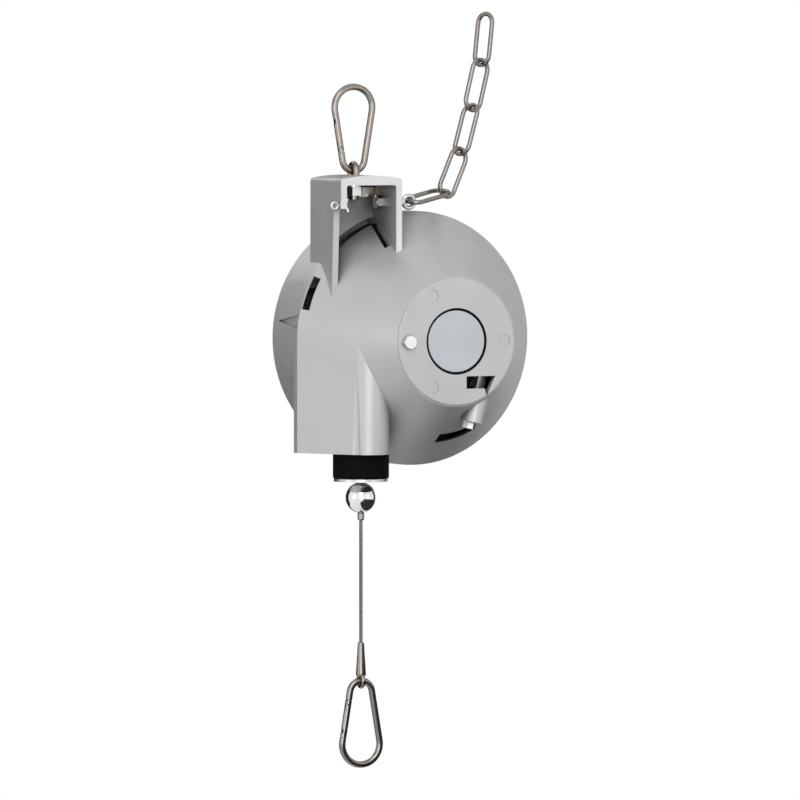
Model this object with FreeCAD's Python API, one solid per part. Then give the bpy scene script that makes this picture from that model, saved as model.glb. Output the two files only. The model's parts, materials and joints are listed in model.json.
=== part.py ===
import FreeCAD, Part

import math
import os

# Spring balancer for hand tools.  Millimetres, +Z up, +Y towards the back, the rope side at -X.
# Everything is modelled about the drum axis (Y) at the middle of the rim, and moved on export so
# that the origin is the point where the upper snap hook hangs.

# ---- driving dimensions -------------------------------------------------------------------------
RIM_R = 100.0            # housing radius
RIM_FRONT = -24.0        # the rim runs from here ...
RIM_BACK = 24.0          # ... to here
FACE_R = 50.0            # flat round face at the front
FACE_Y = -104.0
SLOPE = (RIM_R - FACE_R) / (RIM_FRONT - FACE_Y)   # cone radius lost per millimetre of depth
WALL = 4.0
RIM_WALL = 4.5

ROPE_X = -54.5           # load line: rope and upper hook
ROPE_Y = -44.3
ROPE_R = 1.5
HOOK_Y = -30.5
DRUM_SLOPE = 0.45        # the drum is a cone too, so that the pull stays even
ROPE_PITCH = 3.7
ROPE_TURNS = 6           # wound on the drum when the rope is drawn in

BRACKET_X = (-80.0, -27.6)
BRACKET_Y = (-62.8, -5.0)
BRACKET_TOP = 128.7
BRACKET_WALL = 5.0
TOP_PLATE = 7.5
BACK_WALL_Y = (-19.8, -14.8)
BAR_BOLT = (-42.5, 115.2)    # x and z of the bolt through the back wall
BAR_DEPTH = 2.8
SPLIT_PIN = (-58.5, 105.5)   # y and z of the pin through the left wall
EYE_COLLAR_R = 7.0
TOP_CROWN = 135.0        # radius of the bracket's slightly domed top

CHUTE_X = (-100.0, -40.0)
CHUTE_BACK = -17.5
CHUTE_BOTTOM = -88.6
CHUTE_FLOOR = 6.0
NOSE_R = 16.5
CREASE_R = 5.0           # valley between the chute's broad face and its rounded nose
CREASE_DEPTH = 1.4
NOZZLE_R = 7.0

COVER_SCREW_R = 91.5     # circles of screws about the drum axis
DRUM_SCREW_R = 64.0
LID_SCREW_R = 77.8
SCREWS = 6
FACE_BOLT_X = -41.0

HOOK_WIRE = 2.6          # snap hook: wire radius
HOOK_WIDE = 16.15        # radius of the wide bow, to the wire's middle
HOOK_NARROW = 9.5        # radius of the narrow bow
HOOK_SPAN = 40.2         # between the two bows' centres
EYE_Z = 131.8            # where the upper hook passes through the suspension eye
LOWER_EYE_Z = -267.1     # where the lower hook passes through the rope's eye

CHAIN_WIRE = 1.8
CHAIN_HALF_WIDTH = 8.0
CHAIN_LONG = 40.8        # end wire to end wire of one link
CHAIN_GAP = 0.35
CHAIN_TURN = 18.0        # the chain hangs in a plane turned this much from the front
CHAIN_START = (-8.4, -34.0, 107.4)
CHAIN_ANGLES = (11.0, 62.0, 71.0, 73.0, 82.5)
CHAIN_TWISTS = (100.0, 0.0, 90.0, 0.0, 90.0)

WHEEL_TEETH = 38
MODULE = 1.5
WORM_R = 7.0
WHEEL_R = MODULE * WHEEL_TEETH / 2
WORM_PLANE = -84.0
WORM_FOOT_ANGLE = -14.55     # direction from the drum axis to the worm, degrees from +X
BUSH_R = 5.6
JOURNAL_R = 4.0
BOSS_R = 7.4
BOSS_FROM = 31.0         # the boss starts this far down the worm's axis ...
BOSS_LENGTH = 26.0
BOSS_NOSE = 8.0          # ... and stands this much further forward than the worm

FIT = 0.05               # radial clearance of a shaft in its hole
CLEAR = 0.3              # between pieces that move past each other

UPPER_WIDE_Z = EYE_Z + HOOK_NARROW + HOOK_SPAN
ORIGIN = (ROPE_X, HOOK_Y, UPPER_WIDE_Z + HOOK_WIDE - HOOK_WIRE)

V = FreeCAD.Vector
X_AXIS, Y_AXIS, Z_AXIS = V(1, 0, 0), V(0, 1, 0), V(0, 0, 1)
parts = {}


# ---- helpers ------------------------------------------------------------------------------------
def face_of(points, at):
    """A plane face from 2-D points; a point may be ("arc", middle, end)."""
    edges, last = [], points[0]
    for p in points[1:] + [points[0]]:
        if p[0] == "arc":
            edges.append(Part.Arc(at(*last), at(*p[1]), at(*p[2])).toShape())
            last = p[2]
        elif math.dist(last, p) > 1e-6:
            edges.append(Part.makeLine(at(*last), at(*p)))
            last = p
    return Part.Face(Part.Wire(edges))


def turned_y(points, x=0.0, z=0.0):
    """Solid of revolution about a line along Y, from (radius, y) points."""
    solid = face_of(points, lambda r, y: V(r, y, 0)).revolve(V(0, 0, 0), Y_AXIS, 360)
    return solid.translated(V(x, 0, z))


def turned_z(points, x, y):
    """Solid of revolution about a vertical line, from (radius, z) points."""
    solid = face_of(points, lambda r, z: V(r, 0, z)).revolve(V(0, 0, 0), Z_AXIS, 360)
    return solid.translated(V(x, y, 0))


def box(x, y, z):
    return Part.makeBox(x[1] - x[0], y[1] - y[0], z[1] - z[0], V(x[0], y[0], z[0]))


def cyl_x(r, x, y, z):
    return Part.makeCylinder(r, x[1] - x[0], V(x[0], y, z), X_AXIS)


def cyl_y(r, y, x=0.0, z=0.0):
    return Part.makeCylinder(r, y[1] - y[0], V(x, y[0], z), Y_AXIS)


def cyl_z(r, z, x=ROPE_X, y=ROPE_Y):
    return Part.makeCylinder(r, z[1] - z[0], V(x, y, z[0]), Z_AXIS)


def hexagon(flats, height, base, axis):
    """Hexagonal prism on a base point, standing along axis."""
    r = flats / math.sqrt(3)
    corners = [V(r * math.cos(math.pi * k / 3), r * math.sin(math.pi * k / 3), 0) for k in range(7)]
    prism = Part.Face(Part.makePolygon(corners)).extrude(V(0, 0, height))
    prism.Placement = FreeCAD.Placement(base, FreeCAD.Rotation(Z_AXIS, axis))
    return prism


def swept(edges, radius, start, along):
    """Round bar of one radius along joined edges."""
    ring = Part.Wire(Part.makeCircle(radius, start, along))
    return Part.Wire(edges).makePipeShell([ring], True, False)


def ring_of(shape, count, first=0.0, about=Y_AXIS, centre=V(0, 0, 0)):
    copies = []
    for k in range(count):
        copy = shape.copy()
        copy.rotate(centre, about, first + 360.0 * k / count)
        copies.append(copy)
    return copies


def polar(r, degrees):
    return r * math.cos(math.radians(degrees)), r * math.sin(math.radians(degrees))


def cover_screw_places():
    return [polar(COVER_SCREW_R, 30 + 360 / SCREWS * k) for k in range(SCREWS)]


def cone_r(y):
    return RIM_R - (RIM_FRONT - y) * SLOPE


def clean(shape):
    return shape.removeSplitter()


# ---- worm axis ----------------------------------------------------------------------------------
WORM_DISTANCE = WORM_R + WHEEL_R
foot = polar(WORM_DISTANCE, WORM_FOOT_ANGLE)
WORM_FOOT = V(foot[0], WORM_PLANE, foot[1])
WORM_DIR = V(foot[1], 0, -foot[0]) / WORM_DISTANCE       # downwards
TO_WHEEL = V(-foot[0], 0, -foot[1]) / WORM_DISTANCE


def on_worm(s):
    return WORM_FOOT + WORM_DIR * s


def worm_bar(r, s):
    return Part.makeCylinder(r, s[1] - s[0], on_worm(s[0]), WORM_DIR)


# ---- housing ------------------------------------------------------------------------------------
def housing_outside():
    shell = turned_y([
        (0, FACE_Y), (FACE_R - 0.6, FACE_Y), (FACE_R, FACE_Y + 0.6), (FACE_R, FACE_Y + 1.2),
        (cone_r(FACE_Y + 1.2), FACE_Y + 1.2), (RIM_R, RIM_FRONT), (RIM_R, RIM_BACK - 1),
        (RIM_R - 1, RIM_BACK), (0, RIM_BACK)])
    return shell.fuse([chute_block(0), bracket()] + worm_boss())


def worm_boss():
    """Rounded lug that runs from the face's edge down the cone to the worm's lower end."""
    back = worm_bar(BOSS_R, (BOSS_FROM, BOSS_FROM + BOSS_LENGTH))
    front = back.copy()
    front.translate(V(0, -BOSS_NOSE, 0))
    corners = []
    for side, y in ((-BOSS_R, 0), (BOSS_R, 0), (BOSS_R, -BOSS_NOSE), (-BOSS_R, -BOSS_NOSE)):
        corners.append(on_worm(BOSS_FROM) + TO_WHEEL * side + V(0, y, 0))
    middle = Part.Face(Part.makePolygon(corners + [corners[0]])).extrude(WORM_DIR * BOSS_LENGTH)
    return [back, front, middle]


def nose_centre():
    x = CHUTE_X[1] - NOSE_R
    return x, RIM_FRONT - (x + RIM_R - NOSE_R * math.hypot(1, SLOPE)) / SLOPE


def nose_crease():
    """Valley beside the nose: it starts below the cone and deepens down to the outlet."""
    x, y = nose_centre()
    reach = (NOSE_R + CREASE_R) / math.hypot(1, SLOPE)
    base = V(x - reach, y - reach * SLOPE, CHUTE_BOTTOM - 1)
    return Part.makeCone(CREASE_R + CREASE_DEPTH, CREASE_R - 0.3, -CHUTE_BOTTOM - 4, base, Z_AXIS)


def chute_block(inset):
    """Outlet shaft.  Its broad face carries the cone's leftmost line straight down."""
    slant = math.hypot(1, SLOPE)
    nose_x, nose_y = nose_centre()
    r = NOSE_R - inset
    left = CHUTE_X[0] + inset
    back = CHUTE_BACK - inset
    shoulder = RIM_FRONT - (left + RIM_R - inset * slant) / SLOPE
    tangent = (nose_x - r / slant, nose_y - r * SLOPE / slant)
    middle = polar(r, 286)
    section = [
        (left, back), (left, shoulder), tangent,
        ("arc", (nose_x + middle[0], nose_y + middle[1]), (nose_x + r, nose_y)),
        (CHUTE_X[1] - inset, back)]
    floor = CHUTE_BOTTOM + (CHUTE_FLOOR if inset else 0)
    return face_of(section, lambda x, y: V(x, y, floor)).extrude(V(0, 0, -floor))


def bracket():
    """Open box on top, with a plate that the suspension eye turns in and a rear pocket."""
    x0, x1 = BRACKET_X
    inner_x = (x0 + BRACKET_WALL, x1 - BRACKET_WALL)
    top = BRACKET_TOP - TOP_PLATE
    depth = (BRACKET_Y[0] - 1, BRACKET_Y[1] + 1)
    crown = cyl_y(TOP_CROWN, depth, (x0 + x1) / 2, BRACKET_TOP - TOP_CROWN)
    body = box(BRACKET_X, BRACKET_Y, (20, BRACKET_TOP + 1)).common(crown)
    corners = [
        e for e in body.Edges
        if e.BoundBox.ZMin > top and e.BoundBox.YLength > 10 and e.BoundBox.XLength < 0.1]
    body = body.makeFillet(3.0, corners)
    front = box(inner_x, (BRACKET_Y[0] - 1, BACK_WALL_Y[0]), (10, top))
    roof_edges = [
        e for e in front.Edges
        if abs(e.BoundBox.ZMin - top) < 1e-3 and e.BoundBox.YLength > 10]
    front = front.makeFillet(2.0, roof_edges)
    rear = box(inner_x, (BACK_WALL_Y[1], BRACKET_Y[1] + 1), (100, top))
    step = face_of(
        [(BRACKET_Y[0] - 1, 103), (-51, 103), (-49, 101), (-44, 15), (BRACKET_Y[0] - 1, 15)],
        lambda y, z: V(x0 - 1, y, z)).extrude(V(BRACKET_WALL + 2, 0, 0))
    return body.cut([front, rear, step])


def housing_inside():
    bore = RIM_R - RIM_WALL
    slant = WALL * math.hypot(1, SLOPE)
    inner_face = FACE_Y + 4.5
    knee = RIM_FRONT + (bore + slant - RIM_R) / SLOPE
    hollow = turned_y([
        (0, inner_face), (cone_r(inner_face) - slant, inner_face), (bore, knee),
        (bore, RIM_BACK - 4), (RIM_R - 2.4, RIM_BACK - 4), (RIM_R - 2.4, RIM_BACK + 1),
        (0, RIM_BACK + 1)])
    return hollow.fuse([chute_block(WALL)])


def sector(r, angles, y):
    """Piece of a ring about the drum axis between two angles (seen from the front)."""
    a, b = angles
    points = [
        polar(r[0], a), polar(r[1], a), ("arc", polar(r[1], (a + b) / 2), polar(r[1], b)),
        polar(r[0], b), ("arc", polar(r[0], (a + b) / 2), polar(r[0], a))]
    return face_of(points, lambda x, z: V(x, y[0], z)).extrude(V(0, y[1] - y[0], 0))


def housing_windows():
    arch_gap = sector((88, RIM_R + 1.3), (109.5, 135), (-28.5, -9.5))
    side_gap = box((-38.4, -33.2), (-54, -21), (50, 101))
    side_slot = sector((86, 101), (150, 166), (-31.0, -24.2))
    slot_undercut = sector((86, RIM_R - 1.4), (150, 167), (-25.0, -9.0))
    cast_wedge = face_of(
        [(14, 14), (-23, 19.5), (-23, 8.5)],
        lambda y, z: V(-97.4, y, z)).extrude(V(-4, 0, 0))
    worm_window = face_of(
        [(8.6, -27.4), (33.3, -27.4), (25.9, -43.0), (24.2, -37.1), (8.6, -37.1)],
        lambda x, z: V(x, FACE_Y - 1, z)).extrude(V(0, 9, 0))
    tool_window = sector((74.3, 81.3), (-87, -61), (-72, -44))
    return [
        arch_gap, side_gap, side_slot, slot_undercut, cast_wedge, worm_window, tool_window,
        nose_crease()]


def inner_bosses():
    bosses = []
    for x, z in cover_screw_places():
        bosses.append(cyl_y(6, (-8, RIM_BACK - 4), x, z))
    bosses.append(worm_pedestal())
    bosses.append(cyl_y(17, (FACE_Y + 4, FACE_Y + 8)))
    bosses.append(cyl_y(7, (FACE_Y + 4, FACE_Y + 10), FACE_BOLT_X))
    return bosses


def worm_pedestal():
    """Block inside the face that carries the upper worm bush."""
    corners = []
    for s, side in ((-25, -8), (-15, -8), (-15, 8), (-25, 8)):
        p = on_worm(s) + TO_WHEEL * side
        corners.append((p.x, p.z))
    return face_of(corners, lambda x, z: V(x, FACE_Y + 4, z)).extrude(
        V(0, WORM_PLANE + 8 - FACE_Y - 4, 0))


def housing_holes():
    holes = [cyl_y(26, (FACE_Y - 1, FACE_Y + 2)), cyl_y(12 + FIT, (FACE_Y, FACE_Y + 9))]
    for angle in (0, 120, 240):
        x, z = polar(41, angle)
        holes.append(cyl_y(5, (FACE_Y - 1, FACE_Y + 0.5), x, z))
    for x, z in cover_screw_places():
        holes.append(cyl_y(2.5 + FIT, (2, RIM_BACK), x, z))
    left, right = BRACKET_X
    holes += [
        cyl_y(3 + FIT, (FACE_Y - 1, FACE_Y + 12), FACE_BOLT_X),
        worm_bar(BUSH_R + FIT, (-26, -14)), worm_bar(BUSH_R + FIT, (30, 44)),
        worm_bar(5.2, (30, BOSS_FROM + BOSS_LENGTH + 1)),
        cyl_z(EYE_COLLAR_R + FIT, (BRACKET_TOP - TOP_PLATE - 1, BRACKET_TOP + 1), ROPE_X, HOOK_Y),
        cyl_x(3 + FIT, (right - BRACKET_WALL - 1, right + 1), CHAIN_START[1], CHAIN_START[2]),
        cyl_x(1.6 + FIT, (left - 1, left + BRACKET_WALL + 1), SPLIT_PIN[0], SPLIT_PIN[1]),
        cyl_y(3 + FIT, (-21, -14), BAR_BOLT[0], BAR_BOLT[1]),
        cyl_z(NOZZLE_R + FIT, (CHUTE_BOTTOM - 1, CHUTE_BOTTOM + CHUTE_FLOOR + 1))]
    return holes


def housing():
    body = housing_outside().cut(housing_inside())
    body = body.fuse(inner_bosses())
    parts["housing"] = clean(body.cut(housing_windows() + housing_holes()))


# ---- rear cover ---------------------------------------------------------------------------------
def rear_cover():
    edge, inside, outside = RIM_R - 2.7, RIM_BACK - 3.9, RIM_BACK
    plate = turned_y([
        (0, 37), (14, 37), (15, 36), (15, 28), (28, 28), (32, outside), (edge - 1, outside),
        (edge, outside - 1), (edge, inside), (25, inside), (25, outside), (11 + FIT, outside),
        (11 + FIT, 34.5), (0, 34.5)])
    rib = box((30, 84), (RIM_BACK - 0.5, RIM_BACK + 2.5), (-1.5, 1.5))
    plate = plate.fuse(ring_of(rib, SCREWS))
    holes = [cyl_y(2.75, (inside - 1, RIM_BACK + 1), x, z) for x, z in cover_screw_places()]
    parts["rear_cover"] = clean(plate.cut(holes))


def cover_screws():
    screws = []
    for x, z in cover_screw_places():
        head = turned_y([
            (0, 4), (2.5, 4), (2.5, 24.02), (4.6, 24.02), (4.6, 26), (3.6, 27.2), (0, 27.2)], x, z)
        socket = hexagon(3.0, 2.0, V(x, 25.4, z), Y_AXIS)
        screws.append(head.cut(socket))
    parts["cover_screws"] = Part.makeCompound(screws)


# ---- front face ---------------------------------------------------------------------------------
def face_parts():
    parts["label_disc"] = turned_y([
        (0, FACE_Y + 2), (24, FACE_Y + 2), (24, FACE_Y + 0.5), (23.6, FACE_Y + 0.1), (0, FACE_Y + 0.1)])
    parts["label_seal"] = turned_y([
        (24.1, FACE_Y + 2), (25.9, FACE_Y + 2), (25.9, FACE_Y + 1.2), (24.1, FACE_Y + 1.2)])
    head = hexagon(10, 4, V(FACE_BOLT_X, FACE_Y, 0), V(0, -1, 0))
    cap = Part.makeCone(5.0, 9.0, 4.0, V(FACE_BOLT_X, FACE_Y - 4, 0), Y_AXIS)
    parts["face_bolt"] = head.common(cap).fuse(cyl_y(3, (FACE_Y, FACE_Y + 13), FACE_BOLT_X))
    tab = box((-48, -11), (FACE_Y + 10, FACE_Y + 13), (-8, 8))
    tab_corners = [e for e in tab.Edges if e.BoundBox.YLength > 2.5 and e.BoundBox.XMax < -40]
    tab = tab.makeFillet(6.0, tab_corners)
    through = (FACE_Y + 9, FACE_Y + 14)
    parts["bush_retainer"] = tab.cut([cyl_y(3 + FIT, through, FACE_BOLT_X), cyl_y(10.5, through)])
    parts["front_bush"] = turned_y([
        (9 + FIT, FACE_Y + 2.6), (12, FACE_Y + 2.6), (12, FACE_Y + 8), (16, FACE_Y + 8),
        (16, FACE_Y + 10), (9 + FIT, FACE_Y + 10)])


# ---- drum, spring and arbor ---------------------------------------------------------------------
def drum_surface(y):
    """Radius of the drum under the rope."""
    return -ROPE_X - ROPE_R - CLEAR + DRUM_SLOPE * (y - ROPE_Y)


def rope_drum():
    front, back = -51.0, -19.0
    groove = []
    for y in (ROPE_Y - ROPE_PITCH, ROPE_Y):
        low = (drum_surface(y - 1.4), y - 1.4)
        high = (drum_surface(y + 1.4), y + 1.4)
        groove += [low, ("arc", (drum_surface(y) - 0.8, y), high)]
    parts["rope_drum"] = turned_y([
        (21 + FIT, -76), (26, -76), (26, -59), (46, -54), (53, -54), (53, front),
        (drum_surface(front), front)] + groove + [
        (drum_surface(back), back), (70, back), (70, -15.8), (58, -15.8), (44.5, -48), (18, -54.5),
        (18, -63), (21 + FIT, -63)])


def rope_on_drum():
    """The wound turns, side by side on the cone, as one ribbed sleeve."""
    start = ROPE_Y + ROPE_PITCH / 2
    profile = [(drum_surface(start) + FIT, start)]
    for k in range(ROPE_TURNS):
        a = start + ROPE_PITCH * k
        b = a + ROPE_PITCH
        mid = (a + b) / 2
        if k == 0:
            profile.append((drum_surface(a) + 2.2, a))
        profile.append(("arc", (drum_surface(mid) + 3.0, mid), (drum_surface(b) + 2.2, b)))
    end = start + ROPE_PITCH * ROPE_TURNS
    profile.append((drum_surface(end) + FIT, end))
    parts["rope_on_drum"] = turned_y(profile)


def spring_barrel():
    screw_holes = ring_of(cyl_y(2 + FIT, (-16, -12), DRUM_SCREW_R), SCREWS)
    lid_holes = ring_of(cyl_y(1.5 + FIT, (4, 14), LID_SCREW_R), SCREWS)
    cup = turned_y([
        (14, -15.7), (80, -15.7), (80, 13), (75.5, 13), (75.5, -13), (14, -13)])
    parts["spring_barrel"] = cup.cut(screw_holes + lid_holes)
    lid = turned_y([
        (14, 13.1), (80, 13.1), (80, 15.6), (21, 15.6), (21, 22.5), (16 + FIT, 22.5),
        (16 + FIT, 15), (14, 15)])
    parts["barrel_lid"] = lid.cut(ring_of(cyl_y(1.5 + FIT, (12, 17), LID_SCREW_R), SCREWS))
    drum_holes = ring_of(cyl_y(2 + FIT, (-20, -14), DRUM_SCREW_R), SCREWS)
    parts["rope_drum"] = parts["rope_drum"].cut(drum_holes)
    drum_screw = cyl_y(2, (-18.6, -13), DRUM_SCREW_R)
    drum_head = turned_y([(0, -13), (3.4, -13), (3.0, -11.8), (0, -11.8)], DRUM_SCREW_R)
    parts["drum_screws"] = Part.makeCompound(ring_of(drum_screw.fuse(drum_head), SCREWS))
    lid_screw = cyl_y(1.5, (6, 15.7), LID_SCREW_R)
    lid_head = turned_y([(0, 15.7), (2.1, 15.7), (1.8, 17), (0, 17)], LID_SCREW_R)
    parts["lid_screws"] = Part.makeCompound(ring_of(lid_screw.fuse(lid_head), SCREWS))


def mainspring():
    """Clock spring: tight coils against the barrel wall and a wide last turn in to the arbor."""
    thick, width = 1.6, (-11.2, 12.3)
    radii = [14.6, 19.0, 30.0, 42.0]
    while radii[-1] < 71.0:
        radii.append(radii[-1] + 1.9)
    inner, outer = [], []
    for side, shift in ((inner, 0.0), (outer, thick)):
        x = -(radii[0] + shift)
        for k in range(len(radii) - 1):
            sign = 1 if k % 2 == 0 else -1
            end = sign * (radii[k + 1] + shift)
            centre = (x + end) / 2
            r = abs(end - x) / 2
            side.append((V(x, 0, 0), V(centre, 0, sign * r), V(end, 0, 0)))
            x = end
    edges = [Part.Arc(*arc).toShape() for arc in inner]
    edges.append(Part.makeLine(inner[-1][2], outer[-1][2]))
    edges += [Part.Arc(*arc).toShape() for arc in outer]
    edges.append(Part.makeLine(outer[0][0], inner[0][0]))
    strip = Part.Face(Part.Wire(Part.sortEdges(edges)[0]))
    strip.translate(V(0, width[0], 0))
    parts["mainspring"] = strip.extrude(V(0, width[1] - width[0], 0))


def bearing(name, r_in, r_out, y):
    """Ball bearing as two rings and the shielded ball cage between them."""
    step = (r_out - r_in) / 3.4
    y0, y1 = y
    inner = turned_y([(r_in, y0), (r_in + step, y0), (r_in + step, y1), (r_in, y1)])
    outer = turned_y([(r_out - step, y0), (r_out, y0), (r_out, y1), (r_out - step, y1)])
    cage = turned_y([
        (r_in + step + 0.02, y0 + 0.6), (r_out - step - 0.02, y0 + 0.6),
        (r_out - step - 0.02, y1 - 0.6), (r_in + step + 0.02, y1 - 0.6)])
    parts[name] = Part.makeCompound([inner, outer, cage])


def arbor():
    shaft = turned_y([
        (0, -101), (8.4, -101), (9, -100.4), (9, -77), (12, -77), (12, -75.5), (10, -75.5),
        (10, -61), (12, -61), (12, -14.5), (13.4, -14.5), (13.4, 12.6), (10, 12.6), (10, 22.8),
        (8, 22.8), (8, 33.5), (7.4, 34.1), (0, 34.1)])
    keyway = box((7.5, 9.6), (-89, -79), (-2, 2))
    slot = box((9, 14), (-11.2, 12.3), (-1.2, 1.2))
    parts["arbor"] = clean(shaft.cut([keyway, slot]))
    parts["wheel_key"] = box((7.6, 10.4), (-88.8, -79.2), (-1.95, 1.95))
    parts["rear_bush"] = turned_y([
        (8 + FIT, 25), (11, 25), (11, 34), (8 + FIT, 34)])


# ---- worm drive that tightens the spring --------------------------------------------------------
def worm_wheel():
    """Wheel whose teeth lean by the worm's lead angle, so that the two stay in mesh."""
    half = 5.0
    addendum, dedendum, backlash = MODULE, 1.25 * MODULE, 0.5
    pitch = math.pi * MODULE
    flank = math.tan(math.radians(20))
    half_width = (pitch / 2 - backlash) / 2
    root = WHEEL_R - dedendum
    tip = WHEEL_R + addendum - 0.1
    lean = WORM_DIR * (pitch / (2 * math.pi * WORM_R) * 2 * half)
    outward = TO_WHEEL * -1
    corners = []
    for r, side in ((root - 0.8, -1), (tip, -1), (tip, 1), (root - 0.8, 1)):
        width = half_width - (r - WHEEL_R) * flank
        corners.append(outward * r + WORM_DIR * (side * width))
    first = corners[0]
    base = V(0, WORM_PLANE - half, 0) - lean * 0.5
    tooth = Part.Face(Part.makePolygon([base + c for c in corners + [first]]))
    tooth = tooth.extrude(lean + V(0, 2 * half, 0))
    body = cyl_y(root, (WORM_PLANE - half, WORM_PLANE + half))
    body = body.fuse(ring_of(tooth, WHEEL_TEETH, 180.0 / WHEEL_TEETH))
    hub = cyl_y(15, (WORM_PLANE - half, WORM_PLANE + half + 2))
    recess = turned_y([
        (17, WORM_PLANE - half - 1), (23, WORM_PLANE - half - 1), (23, WORM_PLANE - half + 2),
        (17, WORM_PLANE - half + 2)])
    bore = cyl_y(9 + FIT, (-95, -70))
    key_slot = box((8, 10.5), (-95, -70), (-2, 2))
    parts["worm_wheel"] = clean(body.fuse(hub).cut([recess, bore, key_slot]))


def worm_shaft():
    """Shaft with a one-start worm, a hexagon in the face window and one at the lower end."""
    pitch = math.pi * MODULE
    flank = math.tan(math.radians(20))
    root = WORM_R - 1.25 * MODULE
    tip = WORM_R + MODULE - 0.1
    turns = 5
    start = -pitch * (turns // 2)
    outline = []
    for r, side in ((root - 0.3, -1), (tip, -1), (tip, 1), (root - 0.3, 1)):
        width = pitch / 4 - (r - WORM_R) * flank
        outline.append(V(r, 0, side * width))
    outline.append(outline[0])
    helix = Part.makeHelix(pitch, pitch * turns, WORM_R)
    thread = Part.Wire(helix).makePipeShell([Part.makePolygon(outline)], True, True)
    thread.translate(V(0, 0, start))
    shaft = Part.makeCylinder(root, 29, V(0, 0, -14.5)).fuse(thread)
    shaft = shaft.fuse([
        Part.makeCylinder(JOURNAL_R, 79.5, V(0, 0, -24.5)), hexagon(11, 10, V(0, 0, 20), Z_AXIS),
        hexagon(8, 9, V(0, 0, 53), Z_AXIS)])
    shaft.Placement = FreeCAD.Placement(
        WORM_FOOT, FreeCAD.Rotation(TO_WHEEL, Y_AXIS, WORM_DIR, "ZXY"))
    parts["worm_shaft"] = shaft
    for name, low, high in (("worm_bush_upper", -24.5, -15.5), ("worm_bush_lower", 34, 43.5)):
        parts[name] = worm_bar(BUSH_R, (low, high)).cut(worm_bar(JOURNAL_R + FIT, (low - 1, high + 1)))


# ---- snap hooks ---------------------------------------------------------------------------------
# A hook has its own frame: the narrow bow is centred on the origin and the wide one is above it.
LEG_LEAN = math.degrees(math.asin((HOOK_WIDE - HOOK_NARROW) / HOOK_SPAN))


def bow_point(angle, r, centre_z):
    x, z = polar(r, angle)
    return V(x, 0, centre_z + z)


GATE_LOW = 0.17          # the gate fills the left leg between these shares of its length
GATE_HIGH = 0.93
PIVOT_UP = 4.0           # rivet above the gate's lower end


def leg_point(share):
    low = bow_point(180 + LEG_LEAN, HOOK_NARROW, 0)
    high = bow_point(180 + LEG_LEAN, HOOK_WIDE, HOOK_SPAN)
    return low + (high - low) * share


def leg_frame(shape, share):
    """Stand a shape made about the Z axis on the left leg at a share of its length."""
    shape.Placement = FreeCAD.Placement(
        leg_point(share), FreeCAD.Rotation(Y_AXIS, -LEG_LEAN))
    return shape


def snap_hook():
    """Pear-shaped hook in its own frame: {piece: solid}, gate closed."""
    nose_start = leg_point(GATE_HIGH)
    leg_dir = leg_point(1) - leg_point(0)
    top_left, top, top_right = (
        bow_point(angle, HOOK_WIDE, HOOK_SPAN) for angle in (180 + LEG_LEAN, 90, -LEG_LEAN))
    foot_right, foot, foot_left = (
        bow_point(angle, HOOK_NARROW, 0) for angle in (-LEG_LEAN, -90, 180 + LEG_LEAN))
    edges = [
        Part.makeLine(nose_start, top_left),
        Part.Arc(top_left, top, top_right).toShape(),
        Part.makeLine(top_right, foot_right),
        Part.Arc(foot_right, foot, foot_left).toShape(),
        Part.makeLine(foot_left, leg_point(GATE_LOW))]
    wire = swept(edges, HOOK_WIRE, nose_start, leg_dir)
    length = leg_dir.Length
    pivot = Part.makeCylinder(1.2 + FIT, 8, V(0, -4, PIVOT_UP), Y_AXIS)
    tongue = box((-2.0, 2.0), (-1.0, 1.0), (-0.5, PIVOT_UP)).fuse(
        Part.makeCylinder(2.0, 2.0, V(0, -1, PIVOT_UP), Y_AXIS))
    nose = box((-1.7, 1.7), (-1.0, 1.0), (-6.0, 0.5)).fuse(
        box((-1.7, 1.7), (-1.9, 1.9), (-6.0, -4.0)))
    body = wire.fuse([leg_frame(tongue.cut(pivot), GATE_LOW), leg_frame(nose, GATE_HIGH)])

    span = length * (GATE_HIGH - GATE_LOW)
    bar = Part.makeCylinder(HOOK_WIRE, span - 2 * CLEAR, V(0, 0, CLEAR))
    keep = box((-4, 4), (-4, 4), (PIVOT_UP, span)).fuse(
        Part.makeCylinder(PIVOT_UP - CLEAR, 8, V(0, -4, PIVOT_UP), Y_AXIS))
    slot_y = (-1.0 - CLEAR, 1.0 + CLEAR)
    fork_slot = box((-4, 4), slot_y, (-1, 9))
    nose_slot = box((-4, 2.1), slot_y, (span - 7.5, span + 1))
    nose_pocket = box((-4, 2.1), (-2.2, 2.2), (span - 6.6, span - 3.4))
    gate = leg_frame(bar.common(keep).cut([fork_slot, nose_slot, nose_pocket, pivot]), GATE_LOW)
    rivet = leg_frame(Part.makeCylinder(1.2, 6.2, V(0, -3.1, PIVOT_UP), Y_AXIS), GATE_LOW)
    spring = leg_frame(box((-1.6, 1.6), (-0.8, 0.8), (PIVOT_UP + 2.4, 8.9)), GATE_LOW)
    return {"": clean(body), "_gate": gate, "_rivet": rivet, "_spring": spring}


def snap_hooks():
    for name, z, down in (("upper_hook", EYE_Z, False), ("lower_hook", LOWER_EYE_Z, True)):
        y = ROPE_Y if down else HOOK_Y
        for suffix, solid in snap_hook().items():
            piece = solid.copy()
            piece.translate(V(0, 0, HOOK_NARROW))
            if down:
                piece = piece.mirror(V(0, 0, 0), Z_AXIS)
            piece.translate(V(ROPE_X, y, z))
            parts[name + suffix] = piece


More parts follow.
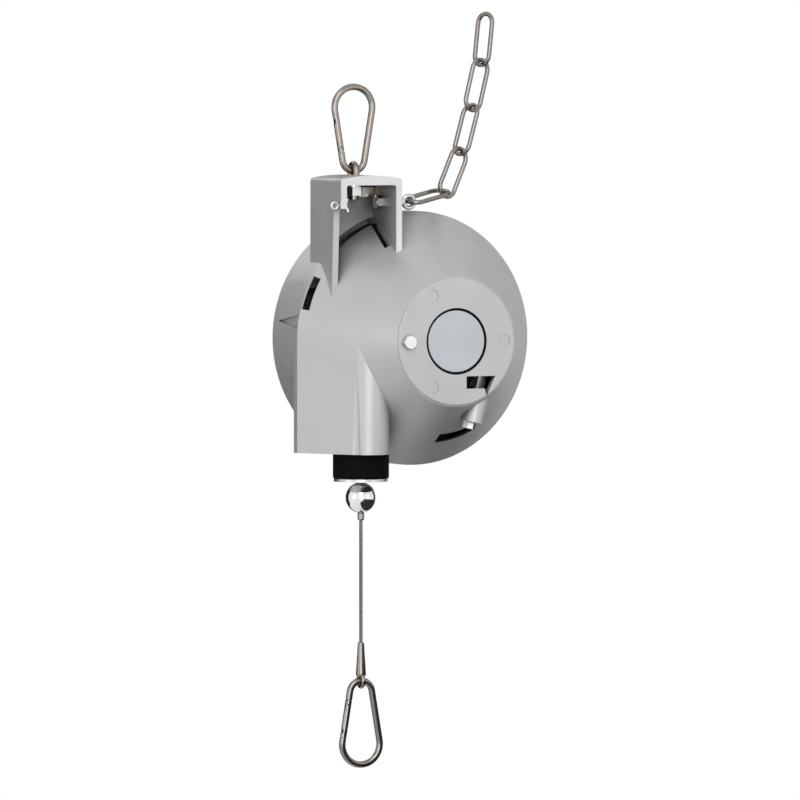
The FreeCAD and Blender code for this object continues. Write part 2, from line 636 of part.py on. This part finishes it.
# ---- suspension ---------------------------------------------------------------------------------
def suspension():
    rod, bend = 2.5, 2.5 + HOOK_WIRE + CLEAR
    x, y = ROPE_X, HOOK_Y
    plate_bottom = BRACKET_TOP - TOP_PLATE
    legs_from = BRACKET_TOP - 2
    edges = [
        Part.makeLine(V(x, y - bend, legs_from), V(x, y - bend, EYE_Z)),
        Part.Arc(V(x, y - bend, EYE_Z), V(x, y, EYE_Z + bend), V(x, y + bend, EYE_Z)).toShape(),
        Part.makeLine(V(x, y + bend, EYE_Z), V(x, y + bend, legs_from))]
    arch = swept(edges, rod, V(x, y - bend, legs_from), Z_AXIS)
    stem = turned_z([
        (0, plate_bottom - 12), (3.6, plate_bottom - 12), (4, plate_bottom - 11.6),
        (4, plate_bottom), (EYE_COLLAR_R, plate_bottom), (EYE_COLLAR_R, BRACKET_TOP),
        (0, BRACKET_TOP)], x, y)
    trim = cyl_z(EYE_COLLAR_R, (plate_bottom, EYE_Z), x, y).fuse(
        cyl_z(20, (BRACKET_TOP, EYE_Z + 20), x, y))
    parts["suspension_eye"] = clean(arch.common(trim).fuse(stem))
    parts["eye_washer"] = turned_z([
        (4 + FIT, plate_bottom - 2), (8, plate_bottom - 2), (8, plate_bottom - CLEAR),
        (4 + FIT, plate_bottom - CLEAR)], x, y)
    nut = hexagon(13, 6.5, V(x, y, plate_bottom - 8.5), Z_AXIS)
    parts["eye_nut"] = nut.cut(cyl_z(4, (plate_bottom - 10, plate_bottom), x, y))
    bar_y = (BACK_WALL_Y[0] - BAR_DEPTH, BACK_WALL_Y[0] - 0.02)
    bar = box((-74.8, -33.0), bar_y, (111.3, 118.8))
    parts["suspension_bar"] = bar.cut(cyl_y(3 + FIT, (-30, -14), BAR_BOLT[0], BAR_BOLT[1]))
    head = hexagon(7, 4, V(BAR_BOLT[0], bar_y[0], BAR_BOLT[1]), V(0, -1, 0))
    parts["bar_bolt"] = head.fuse(cyl_y(3, (bar_y[0], -15), BAR_BOLT[0], BAR_BOLT[1]))
    parts["split_pin"] = split_pin()


def split_pin():
    """Cotter through the left wall's front edge: ring head outside, bent ends inside."""
    x0, (y, z) = BRACKET_X[0], SPLIT_PIN
    shank = cyl_x(1.5, (x0 - 1.5, x0 + 6.5), y, z)
    head = Part.makeTorus(2.6, 0.9, V(x0 - 3.6, y, z), Y_AXIS)
    legs = []
    for side in (-1, 1):
        leg = Part.makeCylinder(0.9, 5.5, V(x0 + 6.0, y, z), V(0.35, 0.2 * side, side))
        legs.append(leg)
    return shank.fuse([head] + legs)


# ---- safety chain -------------------------------------------------------------------------------
def chain_point(h, z):
    """Point of the chain's plane: h along it from the wall eye, z above the drum axis."""
    turn = math.radians(CHAIN_TURN)
    return V(
        CHAIN_START[0] + h * math.cos(turn), CHAIN_START[1] + h * math.sin(turn), z)


def chain_link():
    """Long link about its own middle, lying in XZ and standing along Z."""
    w, half = CHAIN_HALF_WIDTH, CHAIN_LONG / 2
    straight = half - w
    edges = [
        Part.makeLine(V(w, 0, -straight), V(w, 0, straight)),
        Part.Arc(V(w, 0, straight), V(0, 0, half), V(-w, 0, straight)).toShape(),
        Part.makeLine(V(-w, 0, straight), V(-w, 0, -straight)),
        Part.Arc(V(-w, 0, -straight), V(0, 0, -half), V(w, 0, -straight)).toShape()]
    return swept(edges, CHAIN_WIRE, V(w, 0, -straight), Z_AXIS)


def chain():
    """Links 1, 3 and 5 carry the pivots in their end wires; 2 and 4 loop round those."""
    h, z = 0.0, CHAIN_START[2]
    overlap = 2 * CHAIN_WIRE + CHAIN_GAP
    for k, (angle, twist) in enumerate(zip(CHAIN_ANGLES, CHAIN_TWISTS)):
        reach = CHAIN_LONG if k % 2 == 0 else CHAIN_LONG - 2 * overlap
        dh, dz = polar(1.0, angle)
        middle = chain_point(h + dh * reach / 2, z + dz * reach / 2)
        link = chain_link()
        link.rotate(V(0, 0, 0), Z_AXIS, twist)
        link.rotate(V(0, 0, 0), Y_AXIS, 90 - angle)
        link.rotate(V(0, 0, 0), Z_AXIS, CHAIN_TURN)
        link.translate(middle)
        parts["chain_link_%d" % (k + 1)] = link
        h, z = h + dh * reach, z + dz * reach


def chain_eye():
    x, y, z = CHAIN_START
    wall = BRACKET_X[1]
    ring = Part.makeTorus(4.7, 1.8, V(x, y, z), Y_AXIS)
    shank = cyl_x(3, (wall - 10, x - 4.7), y, z)
    parts["chain_eyebolt"] = ring.fuse(shank)
    outer = hexagon(10, 5, V(wall, y, z), X_AXIS)
    inner = hexagon(10, 4.5, V(wall - BRACKET_WALL - 4.5, y, z), X_AXIS)
    bore = cyl_x(3 + FIT, (wall - 12, wall + 8), y, z)
    parts["chain_nuts"] = Part.makeCompound([outer.cut(bore), inner.cut(bore)])


# ---- rope outlet and rope -----------------------------------------------------------------------
def rope_outlet():
    floor = CHUTE_BOTTOM + CHUTE_FLOOR
    under = CHUTE_BOTTOM
    parts["guide_nozzle"] = turned_z([
        (2.2, -110.6), (4.9, -110.6), (4.9, -106), (NOZZLE_R, -106), (NOZZLE_R, floor), (10, floor),
        (10, floor + 3), (5, floor + 5), ("arc", (3.0, floor + 2.6), (2.2, floor - 2))],
        ROPE_X, ROPE_Y)
    parts["bumper"] = turned_z([
        (NOZZLE_R + FIT, under - 0.1), (21, under - 0.1), (22, under - 1.1), (22, -107.3),
        (21, -108.3), (5.2, -108.3), (5.2, -106.1), (NOZZLE_R + FIT, -106.1)], ROPE_X, ROPE_Y)
    parts["bumper_washer"] = turned_z([
        (5, -110.6), (21.4, -110.6), (21.4, -108.4), (5, -108.4)], ROPE_X, ROPE_Y)


def rope_end():
    ball_z, ball_r = -123.4, 12.0
    hole = ROPE_R + FIT
    ball = Part.makeSphere(ball_r, V(ROPE_X, ROPE_Y, ball_z))
    parts["ball_stop"] = ball.cut(cyl_z(hole, (ball_z - 20, ball_z + 20)))
    parts["rope_ferrule"] = turned_z([
        (hole, -141), (2.3, -141), (2.7, -140.2), (2.7, -136), (2.3, -135.3), (hole, -135.3)],
        ROPE_X, ROPE_Y)
    parts["wire_rope"] = cyl_z(ROPE_R, (-246, 0))
    eye_r = 1.7 + HOOK_WIRE + CLEAR
    taper_end = LOWER_EYE_Z + eye_r - 0.6
    sleeve = turned_z([
        (0, taper_end), (3.9, taper_end), (4.0, taper_end + 1.5), (2.5, -237.6), (2.1, -237),
        (hole, -237), (hole, -246.5), (0, -246.5)], ROPE_X, ROPE_Y)
    eye = Part.makeTorus(eye_r, 1.7, V(ROPE_X, ROPE_Y, LOWER_EYE_Z), X_AXIS)
    window = Part.makeCylinder(
        HOOK_WIRE + CLEAR + 0.1, 12, V(ROPE_X - 6, ROPE_Y, LOWER_EYE_Z), X_AXIS)
    parts["rope_end_eye"] = clean(sleeve.cut(window).fuse(eye))


def main():
    housing()
    rear_cover()
    cover_screws()
    face_parts()
    rope_drum()
    rope_on_drum()
    spring_barrel()
    mainspring()
    bearing("front_bearing", 10 + FIT, 21, (-75, -63.2))
    bearing("rear_bearing", 10 + FIT, 16, (15.1, 22))
    arbor()
    worm_wheel()
    worm_shaft()
    snap_hooks()
    suspension()
    chain()
    chain_eye()
    rope_outlet()
    rope_end()
    os.makedirs("parts", exist_ok=True)
    home = V(*ORIGIN) * -1
    for name, shape in parts.items():
        placed = shape.translated(home)
        placed.exportStep("parts/%s.step" % name)
        print(name, "valid" if placed.isValid() else "INVALID", len(placed.Solids), round(placed.Volume))


main()
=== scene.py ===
"""Looks of the hanging tool balancer: finishes, the stranded rope and the studio."""

import json
import math

import bmesh
import bpy
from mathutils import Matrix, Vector


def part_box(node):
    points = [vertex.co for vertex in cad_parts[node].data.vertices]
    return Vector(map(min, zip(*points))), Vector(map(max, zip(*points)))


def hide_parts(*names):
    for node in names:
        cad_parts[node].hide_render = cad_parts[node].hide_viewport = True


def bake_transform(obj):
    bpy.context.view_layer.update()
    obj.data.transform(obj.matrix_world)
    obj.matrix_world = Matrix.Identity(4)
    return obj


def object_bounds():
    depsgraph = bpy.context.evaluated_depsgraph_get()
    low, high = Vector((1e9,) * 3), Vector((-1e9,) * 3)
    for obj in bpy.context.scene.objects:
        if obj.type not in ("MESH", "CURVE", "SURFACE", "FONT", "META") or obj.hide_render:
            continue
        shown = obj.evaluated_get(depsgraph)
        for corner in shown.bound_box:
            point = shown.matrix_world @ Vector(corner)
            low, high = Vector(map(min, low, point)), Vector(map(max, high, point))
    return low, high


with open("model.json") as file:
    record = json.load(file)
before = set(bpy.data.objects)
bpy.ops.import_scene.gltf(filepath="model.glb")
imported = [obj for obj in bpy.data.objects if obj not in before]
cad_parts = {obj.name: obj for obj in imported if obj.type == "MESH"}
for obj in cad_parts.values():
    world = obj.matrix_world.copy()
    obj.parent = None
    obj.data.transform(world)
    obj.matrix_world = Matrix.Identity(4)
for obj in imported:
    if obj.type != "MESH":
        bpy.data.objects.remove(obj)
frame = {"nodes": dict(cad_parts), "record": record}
cad_low, cad_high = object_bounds()
nodes = frame["nodes"]

# ---- view of the photograph: metres and degrees, lens and sensor in millimetres -----------------
VIEW_AZIMUTH = -25.1
VIEW_ELEVATION = 2.5
LENS = 400.0
SENSOR = 36.0
PICTURE_WIDTH = 0.6314       # what the picture spans at the target
AIM_BELOW_DRUM = 0.0498
RIM_HALF_DEPTH = 0.024       # from the housing's back to the rim's middle
CLIP_NEAR = 0.05
CLIP_FAR = 60.0


def direction(azimuth, elevation):
    """Unit vector towards a place round the object: azimuth 0 is in front, 90 on its right."""
    a, e = math.radians(azimuth), math.radians(elevation)
    return Vector((math.sin(a) * math.cos(e), -math.cos(a) * math.cos(e), math.sin(e)))


def aimed(target, azimuth, elevation, distance, thing, name):
    """An object for a camera or lamp, placed round the target and turned to face it."""
    back = direction(azimuth, elevation)
    placed = bpy.data.objects.new(name, thing)
    placed.location = target + back * distance
    placed.rotation_mode = "QUATERNION"
    placed.rotation_quaternion = (-back).to_track_quat("-Z", "Y")
    bpy.context.collection.objects.link(placed)
    return placed


def node_centre(name):
    low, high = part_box(name)
    return (Vector(low) + Vector(high)) / 2


def make_camera():
    """The photograph's camera. Its target is under the drum, in the rim's middle plane."""
    drum = node_centre("rope_drum")
    rim_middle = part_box("housing")[1][1] - RIM_HALF_DEPTH
    target = Vector((drum.x, rim_middle, drum.z - AIM_BELOW_DRUM))
    data = bpy.data.cameras.new("photo_camera")
    data.lens = LENS
    data.sensor_width = SENSOR
    data.clip_start = CLIP_NEAR
    data.clip_end = CLIP_FAR
    distance = PICTURE_WIDTH * LENS / SENSOR
    bpy.context.scene.camera = aimed(
        target, VIEW_AZIMUTH, VIEW_ELEVATION, distance, data, "photo_camera")
    return target


# ---- node trees ---------------------------------------------------------------------------------
def grey(level):
    return (level, level, level)


class Tree:
    """Short calls for the nodes of a material or world."""

    def __init__(self, tree):
        self.tree = tree

    def add(self, kind, **settings):
        node = self.tree.nodes.new("ShaderNode" + kind)
        for name, value in settings.items():
            setattr(node, name, value)
        return node

    def feed(self, socket, value):
        """Link another node's output to the socket, or set the socket to a plain value."""
        if isinstance(value, bpy.types.NodeSocket):
            self.tree.links.new(value, socket)
        else:
            socket.default_value = value

    def made(self, kind, output, inputs, **settings):
        """One output of a new node whose inputs are fed from a dictionary."""
        node = self.add(kind, **settings)
        for socket, value in inputs.items():
            self.feed(node.inputs[socket], value)
        return node.outputs[output]

    def maths(self, operation, *values):
        return self.made("Math", 0, dict(enumerate(values)), operation=operation)

    def mixed(self, factor, first, second, blend="MIX"):
        return self.made(
            "Mix", "Result", {"Factor": factor, "A": first, "B": second},
            data_type="RGBA", blend_type=blend)

    def joined(self, factor, first, second):
        """Two shaders, shared out by the factor."""
        return self.made("MixShader", 0, {"Fac": factor, 1: first, 2: second})

    def seen_white(self):
        """A factor that is 1 for rays from the camera or off metal and glass."""
        path = self.add("LightPath")
        total = path.outputs["Is Camera Ray"]
        for name in ("Is Glossy Ray", "Is Transmission Ray"):
            total = self.maths("MAXIMUM", total, path.outputs[name])
        return total


class Finish(Tree):
    """A principled material and the procedural textures it is built from."""

    def __init__(self, name, roughness, metallic=0.0):
        self.material = bpy.data.materials.new(name)
        self.material.use_nodes = True
        super().__init__(self.material.node_tree)
        self.shader = self.tree.nodes["Principled BSDF"]
        self.shader.inputs["Roughness"].default_value = roughness
        self.shader.inputs["Metallic"].default_value = metallic
        places = self.add("TexCoord")
        self.coords = places.outputs["Object"]
        self.normal = places.outputs["Normal"]

    def noise(self, scale, detail, stretch=None):
        """Noise with about scale cells a metre, shorter on an axis whose stretch is above 1."""
        coords = self.coords
        if stretch:
            coords = self.made("Mapping", "Vector", {"Vector": coords, "Scale": stretch})
        return self.made("TexNoise", "Fac", {"Vector": coords, "Scale": scale, "Detail": detail})

    def ramp(self, factor, low, high, low_at=0.3, high_at=0.7):
        """From the low colour to the high one as the factor goes between two values."""
        node = self.add("ValToRGB")
        for stop, colour, position in zip(
                node.color_ramp.elements, (low, high), (low_at, high_at)):
            stop.position = position
            stop.color = (*colour, 1)
        self.feed(node.inputs["Fac"], factor)
        return node.outputs["Color"]

    def toned(self, colour, spread, **grain):
        """The colour with darker and lighter patches of noise."""
        dark, light = (tuple(c * k for c in colour) for k in (1 - spread, 1 + spread))
        return self.ramp(self.noise(**grain), dark, light)

    def corner_shaded(self, colour):
        """The colour darkened in deep corners and pockets by an ambient occlusion node: painted
        shade.
        """
        open_air = self.made(
            "AmbientOcclusion", "AO", {"Distance": CORNER_SHADE_REACH}, samples=CORNER_SHADE_SAMPLES)
        shade = self.ramp(open_air, grey(CORNER_SHADE), grey(1), *CORNER_SHADE_RAMP)
        return self.mixed(1.0, colour, shade, "MULTIPLY")

    def facing_front_at(self, plane, depth):
        """1 on the flat faces that look to the front at one plane across the object."""
        normal, place = (
            self.made("SeparateXYZ", "Y", {0: vector}) for vector in (self.normal, self.coords))
        flat = self.maths("LESS_THAN", normal, FLAT_FRONT)
        off = self.maths("ABSOLUTE", self.maths("SUBTRACT", place, plane))
        return self.maths("MULTIPLY", flat, self.maths("LESS_THAN", off, depth))

    def colour(self, output):
        self.feed(self.shader.inputs["Base Color"], output)

    def rough(self, low, high, **grain):
        """Roughness that varies between two values with the noise."""
        self.feed(self.shader.inputs["Roughness"], self.made(
            "MapRange", "Result",
            {"Value": self.noise(**grain), "To Min": low, "To Max": high}))

    def bump(self, strength, distance, **grain):
        """Relief from noise, on top of what relief there is already."""
        last = self.shader.inputs["Normal"]
        inputs = {"Strength": strength, "Distance": distance, "Height": self.noise(**grain)}
        if last.links:
            inputs["Normal"] = last.links[0].from_socket
        self.feed(last, self.made("Bump", "Normal", inputs))


# ---- finishes -----------------------------------------------------------------------------------
CORNER_SHADE_REACH = 0.05           # how far off a wall the painted shade of a corner reaches
CORNER_SHADE = 0.16                 # what is left of the colour in the deepest corner, under the painted shade
CORNER_SHADE_RAMP = (0.2, 0.8)      # open share of the surroundings: all painted shade, and none
CORNER_SHADE_SAMPLES = 8
MOUTH_SETBACK = 0.0412       # the bracket's mouth behind the front face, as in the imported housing
MOUTH_DEPTH = 0.0006         # how far from that plane a face still counts as the mouth
FLAT_FRONT = -0.98           # the normal's y, below which a face looks to the front
PAINT_GREY = (0.60, 0.60, 0.598)
# lighter grey for the flat faces that look to the front at the bracket's mouth
LIGHTER_MOUTH_GREY = (0.80, 0.80, 0.80)


def cast_paint():
    """Silver-grey paint on a pressure casting: painted shade in corners, lighter on the bracket
    mouth's front faces.
    """
    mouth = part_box("housing")[0][1] + MOUTH_SETBACK
    finish = Finish("cast_paint", roughness=0.42, metallic=0.30)
    # the paint darkened in deep corners and pockets: painted shade
    painted = finish.corner_shaded(finish.toned(PAINT_GREY, spread=0.03, scale=22, detail=4))
    # a lighter grey on the flat faces that look to the front at the bracket's mouth
    lighter_mouth = finish.toned(LIGHTER_MOUTH_GREY, spread=0.03, scale=180, detail=2, stretch=(1, 1, 6))
    finish.colour(finish.mixed(finish.facing_front_at(mouth, MOUTH_DEPTH), painted, lighter_mouth))
    finish.rough(0.36, 0.50, scale=60, detail=3)
    finish.bump(strength=0.10, distance=0.0004, scale=900, detail=2)
    finish.bump(strength=0.05, distance=0.0015, scale=70, detail=2)
    return finish.material


def polished_metal(name, colour, roughness):
    """Bright metal with fine drawing lines and a slightly uneven tone."""
    finish = Finish(name, roughness, metallic=1.0)
    finish.colour(finish.toned(colour, spread=0.12, scale=32, detail=1, stretch=(1, 1, 0.4)))
    finish.rough(roughness * 0.85, roughness * 1.15, scale=70, detail=1)
    finish.bump(strength=0.02, distance=0.00008, scale=900, detail=2, stretch=(1, 1, 0.3))
    return finish.material


def turned_metal(name, colour, roughness):
    """Machined metal with faint tool marks round the drum's axis."""
    finish = Finish(name, roughness, metallic=1.0)
    finish.colour(finish.toned(colour, spread=0.08, scale=150, detail=4))
    finish.rough(roughness * 0.8, roughness * 1.25, scale=320, detail=3)
    finish.bump(strength=0.2, distance=0.0001, scale=1600, detail=2, stretch=(1, 6, 1))
    return finish.material


def dull_plastic(name, colour, roughness, grain, shine=0.5):
    """Plastic, rubber or a label's film, with a fine grain of about so many cells a metre."""
    finish = Finish(name, roughness)
    finish.shader.inputs["Specular IOR Level"].default_value = shine
    finish.colour(finish.toned(colour, spread=0.06, scale=45, detail=4))
    finish.rough(roughness * 0.85, roughness * 1.15, scale=180, detail=3)
    finish.bump(strength=0.15, distance=0.0003, scale=grain, detail=2)
    return finish.material


# by material slot: name, colour and roughness, and for plastic also grain and shine
FINISHES = {
    "cast_grey": cast_paint(),
    "rope_drum": turned_metal("turned_aluminium", (0.62, 0.63, 0.64), 0.32),
    "label": dull_plastic("label_face", (0.74, 0.77, 0.82), 0.34, 500),
    "black_rubber": dull_plastic("black_rubber", (0.006, 0.006, 0.0065), 0.7, 1100, 0.05),
    "polished_steel": polished_metal("polished_steel", (0.25, 0.225, 0.205), 0.24),
    "chrome": polished_metal("chrome", (0.78, 0.78, 0.78), 0.06),
    "plated_steel": polished_metal("plated_steel", (0.60, 0.60, 0.585), 0.34),
    "warm_steel": polished_metal("warm_steel", (0.50, 0.41, 0.31), 0.30),
    "dark_steel": polished_metal("dark_steel", (0.13, 0.13, 0.14), 0.35),
    "spring_steel": turned_metal("spring_steel", (0.20, 0.19, 0.18), 0.35),
    "ground_steel": turned_metal("ground_steel", (0.74, 0.73, 0.71), 0.30),
    "bronze": turned_metal("bronze", (0.60, 0.42, 0.20), 0.30),
    "nylon": dull_plastic("nylon", (0.72, 0.70, 0.64), 0.45, 400),
    "stranded_rope": polished_metal("stranded_rope", (0.24, 0.22, 0.205), 0.34),
}


def dress_nodes():
    for part in frame["record"]["subparts"]:
        mesh = nodes[part["node"]].data
        mesh.materials.clear()
        mesh.materials.append(FINISHES[part["material_slot"]])


# ---- stranded rope ------------------------------------------------------------------------------
STRANDS = 6
STRANDS_ACROSS = 3           # two opposite strands and the core between them
LAY_LENGTH = 0.019           # of rope for one turn of a strand
RING_STEP = 0.0012
STRAND_SIDES = 7


def round_point(centre, radius, turn, z):
    """A point at height z on a circle round the centre, the turn given in revolutions."""
    angle = 2 * math.pi * turn
    return (centre[0] + radius * math.cos(angle), centre[1] + radius * math.sin(angle), z)


def lay_strand(mesh, low, high, centre, lay, start, radius):
    """A closed tube that winds up round the centre line at the lay radius."""
    rings = int((high.z - low.z) / RING_STEP)
    previous = None
    for step in range(rings + 1):
        z = low.z + (high.z - low.z) * step / rings
        middle = round_point(centre, lay, start + (z - low.z) / LAY_LENGTH, z)
        ring = [mesh.verts.new(round_point(middle, radius, side / STRAND_SIDES, z))
                for side in range(STRAND_SIDES)]
        if previous:
            for side in range(STRAND_SIDES):
                after = (side + 1) % STRAND_SIDES
                mesh.faces.new((previous[side], previous[after], ring[after], ring[side]))
        else:
            mesh.faces.new(reversed(ring))
        previous = ring
    mesh.faces.new(previous)


def stranded_rope():
    """Six strands laid round a core strand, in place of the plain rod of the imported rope."""
    low, high = (Vector(v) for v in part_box("wire_rope"))
    centre = (low + high) / 2
    radius = (high.x - low.x) / 2
    strand = radius / STRANDS_ACROSS
    mesh = bmesh.new()
    for k in range(STRANDS):
        lay_strand(mesh, low, high, centre, radius - strand, k / STRANDS, strand)
    lay_strand(mesh, low, high, centre, 0.0, 0.0, strand)
    data = bpy.data.meshes.new("rope_strands")
    mesh.to_mesh(data)
    mesh.free()
    for face in data.polygons:
        face.use_smooth = True
    rope = bpy.data.objects.new("rope_strands", data)
    bpy.context.collection.objects.link(rope)
    data.materials.append(FINISHES["stranded_rope"])
    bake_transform(rope)
    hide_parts("wire_rope")


# ---- studio -------------------------------------------------------------------------------------
ROPE_TRAVEL = 2.0
FLOOR_DROP = ROPE_TRAVEL + 0.06        # the hook stays clear of the floor at full travel
FLOOR_REACH = 30.0
FLOOR_PALE = (0.90, 0.93)              # darker and lighter patches of the floor
FLOOR_BOUNCE = 0.30                    # how pale it is to the light that it throws back up
GLOW_NEAR = 0.80                       # share of the floor's white that is its own glow
SHADOW_REACH = (0.8, 3.0)              # from there out the glow grows, up to all of the white
WORLD_LIGHT = 0.22
WHITE = (1, 1, 1, 1)
STAGE_ROUGHNESS = 0.9
FLAG_DARK = (0.03, 0.05)
LAMP_DISTANCE = 2.6
LAMP_SIZE = 1.2
# name, azimuth, elevation, distance, width, height
FLAGS = (
    ("flag_back", 180, 0, 2.0, 2.6, 3.0),
    ("flag_left", -148, 0, 1.8, 1.2, 2.4),
    ("flag_right", 98, 8, 1.6, 0.75, 2.6),
    ("flag_low", 52, -54, 0.33, 1.0, 0.42))
# name, azimuth, elevation, power
LAMPS = (
    ("key_lamp", -25, 35, 16.5),
    ("front_lamp", -25, 5, 16.5),
    ("left_lamp", -75, 5, 6.8),
    ("fill_lamp", 25, 5, 4.2),
    ("back_lamp", 190, 30, 12.0))


def plain_sheet(name, centre, across, up, material):
    """A rectangle on the stage, given by its centre and half its width and height."""
    data = bpy.data.meshes.new(name)
    corners = (centre - across - up, centre + across - up,
               centre + across + up, centre - across + up)
    data.from_pydata(corners, [], [(0, 1, 2, 3)])
    data.materials.append(material)
    sheet = bpy.data.objects.new(name, data)
    bpy.context.collection.objects.link(sheet)
    return sheet


def make_world():
    """A dim even light, which the camera and bright metal see as white."""
    world = bpy.data.worlds.new("studio")
    world.use_nodes = True
    bpy.context.scene.world = world
    world.node_tree.nodes.clear()
    sky = Tree(world.node_tree)
    light, white = (
        sky.made("Background", 0, {"Color": WHITE, "Strength": strength})
        for strength in (WORLD_LIGHT, 1.0))
    sky.feed(
        sky.add("OutputWorld").inputs["Surface"], sky.joined(sky.seen_white(), light, white))


def make_floor(target):
    """Pale floor that keeps the shadow near the object and reads white further out."""
    centre = Vector((target.x, target.y, cad_low[2] - FLOOR_DROP))
    finish = Finish("studio_floor", STAGE_ROUGHNESS)
    white = finish.seen_white()
    pale = finish.ramp(finish.noise(2, 2), *map(grey, FLOOR_PALE))
    finish.colour(finish.mixed(white, (*grey(FLOOR_BOUNCE), 1), pale))
    away = finish.made(
        "VectorMath", "Value", {0: finish.coords, 1: centre}, operation="DISTANCE")
    fade = finish.made("MapRange", "Result", {
        "Value": away, "From Min": SHADOW_REACH[0], "From Max": SHADOW_REACH[1],
        "To Min": GLOW_NEAR, "To Max": 1.0})
    share = finish.maths("MULTIPLY", white, fade)
    glow = finish.made("Emission", 0, {"Strength": 1.0})
    finish.feed(
        finish.tree.nodes["Material Output"].inputs["Surface"],
        finish.joined(share, finish.shader.outputs[0], glow))
    plain_sheet(
        "studio_floor", centre, Vector((FLOOR_REACH, 0, 0)), Vector((0, FLOOR_REACH, 0)),
        finish.material)


def make_flag(name, target, azimuth, elevation, distance, width, height):
    """A dark card out of shot, which gives bright metal something to reflect."""
    finish = Finish(name, STAGE_ROUGHNESS)
    finish.colour(finish.ramp(finish.noise(3, 2), *map(grey, FLAG_DARK)))
    card = plain_sheet(
        name, target + direction(azimuth, elevation) * distance,
        direction(azimuth + 90, 0) * (width / 2),
        direction(azimuth, elevation + 90) * (height / 2), finish.material)
    card.visible_camera = False
    card.visible_diffuse = False
    card.visible_shadow = False


def make_lamp(name, target, azimuth, elevation, power):
    data = bpy.data.lights.new(name, "AREA")
    data.shape = "SQUARE"
    data.size = LAMP_SIZE
    data.energy = power
    aimed(target, azimuth, elevation, LAMP_DISTANCE, data, name)


dress_nodes()
stranded_rope()
aim = make_camera()
make_world()
make_floor(aim)
for flag, *place in FLAGS:
    make_flag(flag, aim, *place)
for lamp, *place in LAMPS:
    make_lamp(lamp, aim, *place)

scene = bpy.context.scene
scene.view_settings.view_transform = "Standard"
